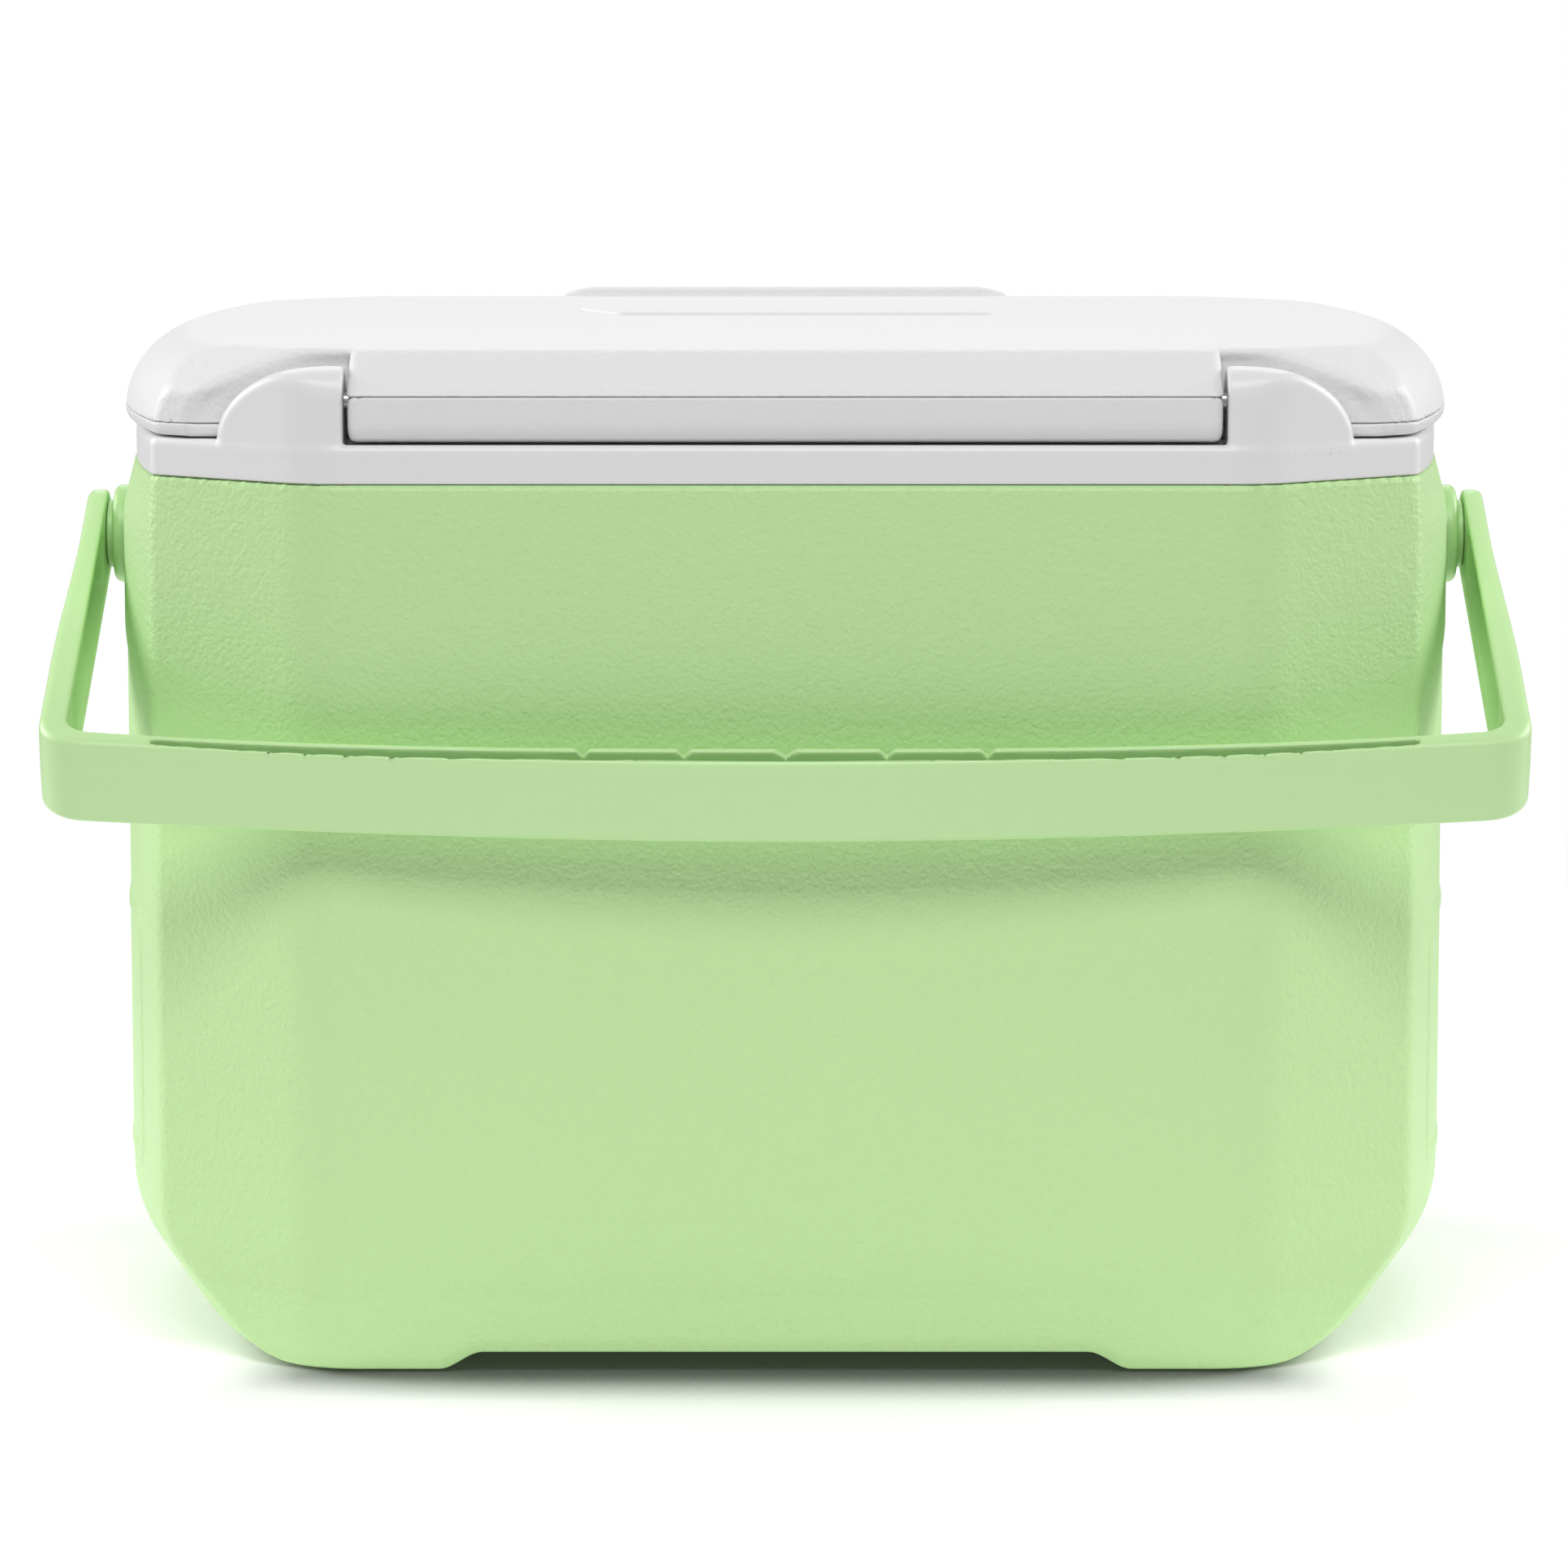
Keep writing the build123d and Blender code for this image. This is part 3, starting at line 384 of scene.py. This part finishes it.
def collar_f(X, Y, Z):
    A, B = np.abs(X), np.abs(Y)
    o = collar_out(A, B, Y, 0.05)
    band = smax(smax(o, Z - 265.8, 2.4), 254.95 - Z, 0.5)
    band = np.maximum(band, -np.maximum(collar_out(A, B, Y, 3.0), Z - 262.8))
    band = smax(band, -mouth(A, B, Y, 22.0), 2.4)
    skirt = np.maximum(np.maximum(collar_out(A, B, Y, 3.3), -collar_out(A, B, Y, 5.7)),
                       np.maximum(247 - Z, Z - 256))
    f = np.minimum(band, skirt)
    # ears
    u = np.maximum(A - 126.0, 0) / 34.3
    v = (Z - 265.8) / 22.3
    q = np.sqrt(u * u + np.maximum(v, 0) ** 2) + 1e-6
    gr = np.sqrt((u / 34.3) ** 2 + (np.maximum(v, 0) / 22.3) ** 2) + 1e-6
    e = (q - 1) * q / gr
    cap = np.sqrt((Y - HY) ** 2 + np.maximum(Z - HZ, 0) ** 2) - 10.6
    ear = smax(smax(e, cap, 3.4), 123.6 - A, 1.6)
    ear = smax(ear, o, 2.2)
    ear = np.maximum(ear, 262.9 - Z)
    f = smin(f, ear, 0.8)
    tr = np.maximum(rod(Y - HY, Z - HZ, 13.5), A - 123.5)
    return smax(f, -tr, 0.6)


collar = surface("v_rim_collar", collar_f, (-193.5, -124, 245.5), (193.5, 124, 290), 0.95, mid)
dress(collar, M_COLLAR)
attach(collar, "chest"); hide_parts("rim_collar")


# ------------------------------------------------------------ lid
def lid_out(X, Y, Z):
    A, B = np.abs(X), np.abs(Y)
    side = sides(A, B, -0.3, 5.0)
    slope = 0.528 * (sides(A, B, 0.0, 6.0) + HD) + 0.849 * Z - 302.3 - 3.0 * step(Y, 10, 80)
    xe = bow(A, Y)
    qx, qz = xe - 170.4, Z - 268.0
    end = np.minimum(np.maximum(qx, qz), 0) + np.sqrt(np.maximum(qx, 0) ** 2 + np.maximum(qz, 0) ** 2) - 24.0
    top = Z - 292
    f = smax(smax(side, slope, 2.2), top, 1.6)
    return smax(f, end, 1.5)


def pockets(X, Y, Z):
    A = np.abs(X)
    u = np.maximum(A - 136.0, 0) / 34.3
    v = np.maximum(Z - 268.0, 0) / 22.9
    p = 1.62
    q = np.maximum((u ** p + v ** p) ** (1 / p), 0.05)
    gr = q ** (1 - p) * np.sqrt((u ** (p - 1) / 34.3) ** 2 + (v ** (p - 1) / 22.9) ** 2) + 1e-6
    e = (q - 1) / gr
    return smax(smax(e, Y + 99.3, 5.0), 122.6 - A, 0.8)


def lid_f(X, Y, Z):
    A = np.abs(X)
    o = lid_out(X, Y, Z)
    # lift lip
    lip = smax(smax(109 - Y, Z - 294.2, 1.0), 0.638 * Y + 0.770 * Z - (0.638 * 114.5 + 0.770 * 294.2), 1.5)
    lip = smax(smax(lip, Y - 123.8, 2.0), 281 - Z, 1.5)
    lip = smax(lip, (A - 69) * 0.30 + (Z - 292) * 0.954, 1.0)
    lip = smax(lip, A - 69, 1.5)
    f = smin(o, lip, 1.2)
    # plain raised badge
    sl = np.abs(X + 0.55 * (Y - 36)) - 56.5
    bd = smax(smax(sl * 0.88, np.abs(Y - 36) - 11.5, 2.0), np.abs(Z - 291.6) - 0.95, 0.4)
    inn = smax(sl * 0.88 + 3.0, np.abs(Y - 36) - 8.5, 1.5)
    bd = smax(bd, -np.maximum(inn, 292.2 - Z), 0.3)
    f = smin(f, bd, 0.5)
    f = smax(f, -pockets(X, Y, Z), 3.2)
    part = np.where((A < 122.6) & (Y < -99.3), 279.42, 270.12)
    f = smax(f, part - Z, 0.2)
    inner = np.maximum(o + 2.6, 270.0 - Z)
    inner = smax(inner, -(Y + 96.7), 1.0)
    f = smax(f, -inner, 0.5)
    return np.maximum(f, -np.maximum(rod(Y - HY, Z - HZ, 2.6), 105.6 - A))


lid = surface("v_lid_shell", lid_f, (-196.5, -124.5, 269), (196.5, 126, 296), 0.95, mid)
dress(lid, M_LID)
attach(lid, "lid"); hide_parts("lid_shell")


def pan_f(X, Y, Z):
    A, B = np.abs(X), np.abs(Y)
    side = sides(A, B, -0.3, 5.0)
    o = smax(side, bow(A, Y) - 194.4, 1.5)
    band = smax(smax(o, 266.3 - Z, 3.0), Z - 270.08, 0.2)
    back = np.maximum(A - 122.6, Y + 99.3)
    band = smax(band, -back, 0.5)
    tt = 25.5 + np.maximum(266.3 - Z, 0) * 0.105
    plug = smax(mouth(A, B, Y, tt), 254.3 - Z, 5.0)
    plug = np.maximum(plug, Z - 268)
    f = smin(band, plug, 1.5)
    f = np.maximum(f, -np.maximum(mouth(A, B, Y, tt + 2.5), 256.8 - Z))
    # barrel
    y0, z0 = Y - HY, Z - HZ
    qx = -(y0 + 4.7); qz = -(z0 + 4.7)
    rear = np.minimum(np.maximum(qx, qz), 0) + np.sqrt(np.maximum(qx, 0) ** 2 + np.maximum(qz, 0) ** 2) - 6.5
    bar = np.maximum(np.maximum(rear, Y + 97.0), 266.3 - Z)
    bar = smax(bar, Z - 279.38, 0.2)
    bar = smax(bar, A - 122.6, 3.2)
    f = np.minimum(f, bar)
    f = smax(f, -pockets(X, Y, Z), 1.2)
    f = np.maximum(f, -np.maximum(rod(y0, z0, 2.6), 105.6 - A))
    port = np.minimum(rod(X - 60, Y, 9.0), rod(X + 60, Y, 9.0))
    return np.maximum(f, -np.maximum(port, Z - 262))


pan = surface("v_lid_pan", pan_f, (-196.5, -124, 252.8), (196.5, 124, 281), 0.95, mid)
dress(pan, M_PAN)
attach(pan, "lid"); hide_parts("lid_pan")


# ------------------------------------------------------------ handle
def handle_f(X, W, V):
    """X along the grip, W away from the pivots, V across the strap."""
    A = np.abs(X)
    wo = 155.4 - 10.1 * (np.minimum(A, 197.4) / 184.0) ** 1.75
    xo = 207.6 + 2.0 * step(W, 18, 98)
    lean = np.where(V > -0.8, (V + 0.8) * 0.020, 0.0)
    qx = A - (xo - 13.6) + lean; qy = W - (wo - 13.6) + lean
    do = np.minimum(np.maximum(qx, qy), 0) + np.sqrt(np.maximum(qx, 0) ** 2 + np.maximum(qy, 0) ** 2) - 13.6
    wi = 146.2 - 7.8 * (np.minimum(A, 194.9) / 184.0) ** 2.8
    px = A - (201.4 - 7.5); py = W - (wi - 7.5)
    di = np.minimum(np.maximum(px, py), 0) + np.sqrt(np.maximum(px, 0) ** 2 + np.maximum(py, 0) ** 2) - 7.5
    across = np.sqrt(np.minimum(W, 0) ** 2 + V * V) - 13.0
    f = smax(smax(do, across, np.where(V > 0, 3.0, 1.8)), -di, 1.2)
    # channel on the inside of each arm
    cw = np.abs(W - 66) - 50; cv = np.abs(V - 0.9) - 8.8
    ch = np.minimum(np.maximum(cw + 4, cv + 4), 0) + np.sqrt(np.maximum(cw + 4, 0) ** 2 + np.maximum(cv + 4, 0) ** 2) - 4
    ch = smax(ch, A - xo + 2.5, 1.5)
    f = smax(f, -np.maximum(ch, 190 - A), 0.9)
    f = smax(f, -np.maximum(rod(W, V, 8.08), A - 206.2), 0.4)
    # slot in the upper side of the grip, and the notches of its rear rail
    s = W - wi
    wd = 4.3 - 2.2 * (np.minimum(A, 177) / 177.0) ** 1.2
    slot = smax(smax(2.3 - s, s - 2.3 - wd, 0.8), -1.6 - V, 1.5)
    slot = smax(slot, A - 177, 1.5)
    f = smax(f, -slot, 0.7)
    for x0, hwd in ((0, 3.0), (28.2, 2.0), (56.3, 2.0)):
        dx = np.abs(A - x0)
        nt = (dx - hwd * (V - 10.8) / 2.2) * 0.72
        f = smax(f, -smax(nt, s - 3.0, 0.4), 0.5)
    return f


ca, sa = math.cos(HANG), math.sin(HANG)


def hung(P, N):
    def turn(Q):
        return np.stack([Q[:, 0], -Q[:, 1] * ca - Q[:, 2] * sa, -Q[:, 1] * sa + Q[:, 2] * ca], 1)
    R = turn(P) + np.array([0, YC, PZ])
    M = turn(N)
    return R, M


# W, V, X make a right-handed set once X is flipped, so the quads stay outward
handle = surface("v_handle_bail", handle_f, (-212, -16, -16), (212, 158.5, 16), 0.85, hung, flip=True)
dress(handle, M_HANDLE)
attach(handle, "handle"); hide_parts("handle_bail")


# ------------------------------------------------------------ turned pieces
def turned(name, prof, sgn, seg=128):
    """Ring turned about the pivot axis from (radius, x) points."""
    bm = bmesh.new()
    rings = []
    for r, x in prof:
        rings.append([bm.verts.new((sgn * x / 1000, (YC + r * math.cos(a)) / 1000, (PZ + r * math.sin(a)) / 1000))
                      for a in (2 * math.pi * i / seg for i in range(seg))])
    for i in range(len(rings)):
        a, b = rings[i], rings[(i + 1) % len(rings)]
        for j in range(seg):
            k = (j + 1) % seg
            bm.faces.new((a[j], a[k], b[k], b[j]))
    bmesh.ops.recalc_face_normals(bm, faces=bm.faces)
    me = bpy.data.meshes.new(name); bm.to_mesh(me); bm.free()
    for p in me.polygons:
        p.use_smooth = True
    me.set_sharp_from_angle(angle=math.radians(38))
    ob = bpy.data.objects.new(name, me)
    bpy.context.scene.collection.objects.link(ob)
    return ob


def arc(cx, cy, r, a0, a1, n):
    return [(cx + r * math.cos(math.radians(a0 + (a1 - a0) * i / n)),
             cy + r * math.sin(math.radians(a0 + (a1 - a0) * i / n))) for i in range(n + 1)]


boss_prof = ([(2.6, 191.0), (8.8, 191.0), (9.0, 191.2), (9.0, 194.35), (9.1, 194.42), (14.1, 194.42)]
             + arc(14.1, 194.82, 0.4, -90, 0, 4)
             + arc(12.3, 197.1, 2.2, 0, 90, 10)
             + [(10.6, 199.3)] + [(10.25, 199.34), (10.05, 199.5), (10.0, 199.7)]
             + [(10.0, 200.8)] + arc(9.7, 200.8, 0.3, 0, 90, 3)
             + [(8.3, 201.1), (8.05, 201.18), (8.0, 201.4), (8.0, 205.4)] + arc(7.6, 205.4, 0.4, 0, 90, 3)
             + [(5.2, 205.8), (5.2, 202.2), (2.6, 202.2)])
for sd, sg in (("left", -1), ("right", 1)):
    b = turned("v_pivot_boss_" + sd, boss_prof, sg)
    dress(b, M_HANDLE)
    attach(b, "chest"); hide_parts("pivot_boss_" + sd)

# ------------------------------------------------------------ foam cores
def core(node, form, gap, body):
    """CAD foam core, kept at least gap inside the outer form."""
    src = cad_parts[node]
    src = bpy.data.objects[src] if isinstance(src, str) else src
    me = src.data.copy(); me.name = "v_" + node
    co = np.empty(len(me.vertices) * 3); me.vertices.foreach_get("co", co)
    P = co.reshape(-1, 3) * 1000 - np.array([0, YC, 0])
    for _ in range(6):
        v = form(P[:, 0], P[:, 1], P[:, 2]) + gap
        g = np.empty_like(P)
        for i in range(3):
            d = np.zeros(3); d[i] = 0.1
            a, b = P + d, P - d
            g[:, i] = (form(a[:, 0], a[:, 1], a[:, 2]) - form(b[:, 0], b[:, 1], b[:, 2])) / 0.2
        over = (v > 0)[:, None]
        P = P - np.where(over, (v / np.maximum((g * g).sum(1), 0.3))[:, None] * g, 0)
    me.vertices.foreach_set("co", ((P + np.array([0, YC, 0])) / 1000).ravel())
    me.update()
    foam = bpy.data.objects.new("v_" + node, me)
    bpy.context.scene.collection.objects.link(foam)
    dress(foam, M_FOAM)
    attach(foam, body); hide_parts(node)


core("body_foam", shell_out, 3.3, "chest")
core("lid_foam", lid_out, 3.0, "lid")

# ------------------------------------------------------------ carried-over CAD
for node, mat in (("inner_liner", M_LINER), ("base_port_plugs", M_PLUG),
                  ("boss_backing_left", M_BACK), ("boss_backing_right", M_BACK), ("pivot_screws", M_STEEL),
                  ("hinge_pin_left", M_STEEL), ("hinge_pin_right", M_STEEL),
                  ("lid_port_plugs", M_PLUG)):
    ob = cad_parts[node]
    if isinstance(ob, str):
        ob = bpy.data.objects[ob]
    for s in ob.material_slots:
        s.material = mat
    if not ob.material_slots:
        ob.data.materials.append(mat)

# ------------------------------------------------------------ floor and light
bpy.ops.mesh.primitive_plane_add(size=14, location=(0, 2.0, -0.0002))
floor = bpy.context.object
floor.name = "stage_floor"
mf, nt, bs = nodes_of("floor_white")
bs.inputs["Base Color"].default_value = (0.96, 0.96, 0.96, 1)
bs.inputs["Roughness"].default_value = 0.6
bs.inputs["Specular IOR Level"].default_value = 0.2
tc = nt.nodes.new("ShaderNodeTexCoord")
sp = nt.nodes.new("ShaderNodeVectorMath"); sp.operation = "LENGTH"
off = nt.nodes.new("ShaderNodeVectorMath"); off.operation = "SUBTRACT"
off.inputs[1].default_value = (0, -2.0, 0)
nt.links.new(tc.outputs["Object"], off.inputs[0])
nt.links.new(off.outputs[0], sp.inputs[0])
fade = nt.nodes.new("ShaderNodeMapRange"); fade.interpolation_type = "SMOOTHSTEP"
fade.inputs["From Min"].default_value = 0.42; fade.inputs["From Max"].default_value = 1.05
fade.inputs["To Min"].default_value = 1.0; fade.inputs["To Max"].default_value = 0.0
nt.links.new(sp.outputs["Value"], fade.inputs["Value"])
nt.links.new(fade.outputs["Result"], bs.inputs["Alpha"])
# painted contact shade: the floor's colour turns near black right under the chest, where ambient occlusion is
# strong; the floor also glows a little, a painted fill
ao = nt.nodes.new("ShaderNodeAmbientOcclusion"); ao.samples = 8
ao.inputs["Distance"].default_value = 0.048
painted_shade_reach = nt.nodes.new("ShaderNodeMapRange"); painted_shade_reach.interpolation_type = "SMOOTHSTEP"
painted_shade_reach.inputs["From Min"].default_value = 0.45; painted_shade_reach.inputs["From Max"].default_value = 0.96
nt.links.new(ao.outputs["AO"], painted_shade_reach.inputs["Value"])
tone = nt.nodes.new("ShaderNodeMix"); tone.data_type = "RGBA"
tone.inputs[6].default_value = (0.10, 0.10, 0.105, 1)
tone.inputs[7].default_value = (0.965, 0.935, 0.985, 1)
# no painted shade out past the feet
sx = nt.nodes.new("ShaderNodeSeparateXYZ")
nt.links.new(tc.outputs["Object"], sx.inputs[0])
ab = nt.nodes.new("ShaderNodeMath"); ab.operation = "ABSOLUTE"
nt.links.new(sx.outputs["X"], ab.inputs[0])
wide = nt.nodes.new("ShaderNodeMapRange"); wide.interpolation_type = "SMOOTHSTEP"
wide.inputs["From Min"].default_value = 0.125; wide.inputs["From Max"].default_value = 0.165
nt.links.new(ab.outputs[0], wide.inputs["Value"])
mx = nt.nodes.new("ShaderNodeMath"); mx.operation = "MAXIMUM"
nt.links.new(painted_shade_reach.outputs["Result"], mx.inputs[0])
nt.links.new(wide.outputs["Result"], mx.inputs[1])
# the painted shade is seen only by the camera; the chest itself is lit by a plain white floor
lpf = nt.nodes.new("ShaderNodeLightPath")
inv = nt.nodes.new("ShaderNodeMath"); inv.operation = "SUBTRACT"; inv.inputs[0].default_value = 1.0
nt.links.new(lpf.outputs["Is Camera Ray"], inv.inputs[1])
mx2 = nt.nodes.new("ShaderNodeMath"); mx2.operation = "MAXIMUM"
nt.links.new(mx.outputs[0], mx2.inputs[0])
nt.links.new(inv.outputs[0], mx2.inputs[1])
nt.links.new(mx2.outputs[0], tone.inputs["Factor"])
nt.links.new(tone.outputs[2], bs.inputs["Base Color"])
nt.links.new(tone.outputs[2], bs.inputs["Emission Color"])
bs.inputs["Emission Strength"].default_value = 0.11
dress(floor, mf)

w = bpy.data.worlds.new("studio")
bpy.context.scene.world = w
w.use_nodes = True
bg = w.node_tree.nodes["Background"]
bg.inputs["Color"].default_value = (1, 1, 1, 1)
bg.inputs["Strength"].default_value = 0.2
# a lit white backdrop is what the camera sees behind the chest
seen = w.node_tree.nodes.new("ShaderNodeBackground")
seen.inputs["Color"].default_value = (1, 1, 1, 1)
seen.inputs["Strength"].default_value = 1.0
lp = w.node_tree.nodes.new("ShaderNodeLightPath")
mw = w.node_tree.nodes.new("ShaderNodeMixShader")
w.node_tree.links.new(lp.outputs["Is Camera Ray"], mw.inputs["Fac"])
w.node_tree.links.new(bg.outputs[0], mw.inputs[1])
w.node_tree.links.new(seen.outputs[0], mw.inputs[2])
w.node_tree.links.new(mw.outputs[0], w.node_tree.nodes["World Output"].inputs["Surface"])
bpy.context.scene.view_settings.view_transform = "Standard"


def area(name, loc, look, size, power, size_y=None):
    l = bpy.data.lights.new(name, "AREA")
    l.energy = power; l.shape = "RECTANGLE"; l.size = size; l.size_y = size_y or size
    o = bpy.data.objects.new(name, l)
    bpy.context.scene.collection.objects.link(o)
    o.location = loc
    o.rotation_euler = (Vector(look) - Vector(loc)).to_track_quat("-Z", "Y").to_euler()
    return o


area("key", (0, -1.42, 1.98), (0, 0, 0.15), 1.5, 29.5, 0.75)
area("front", (0, -2.3, 0.55), (0, 0, 0.15), 1.4, 1.9, 0.7)
area("side_left", (-1.45, 0.42, 0.72), (0, 0, 0.12), 0.9, 16)
area("side_right", (1.45, 0.42, 0.72), (0, 0, 0.12), 0.9, 15)
area("overhead", (0, 0.2, 2.4), (0, 0, 0), 2.2, 1.5)
area("back", (0, 1.9, 1.3), (0, 0, 0.15), 1.2, 7)

cam_d = bpy.data.cameras.new("cam")
cam_d.lens = 154.92; cam_d.sensor_width = 36.0
cam_d.shift_x = -0.00078
cam = bpy.data.objects.new("cam", cam_d)
bpy.context.scene.collection.objects.link(cam)
cam.location = (0, -2.0 + YC / 1000, 0.43936)
cam.rotation_euler = (math.radians(90 - 8.1468), 0, 0)
cam_d.clip_start = 0.1; cam_d.clip_end = 50
bpy.context.scene.camera = cam
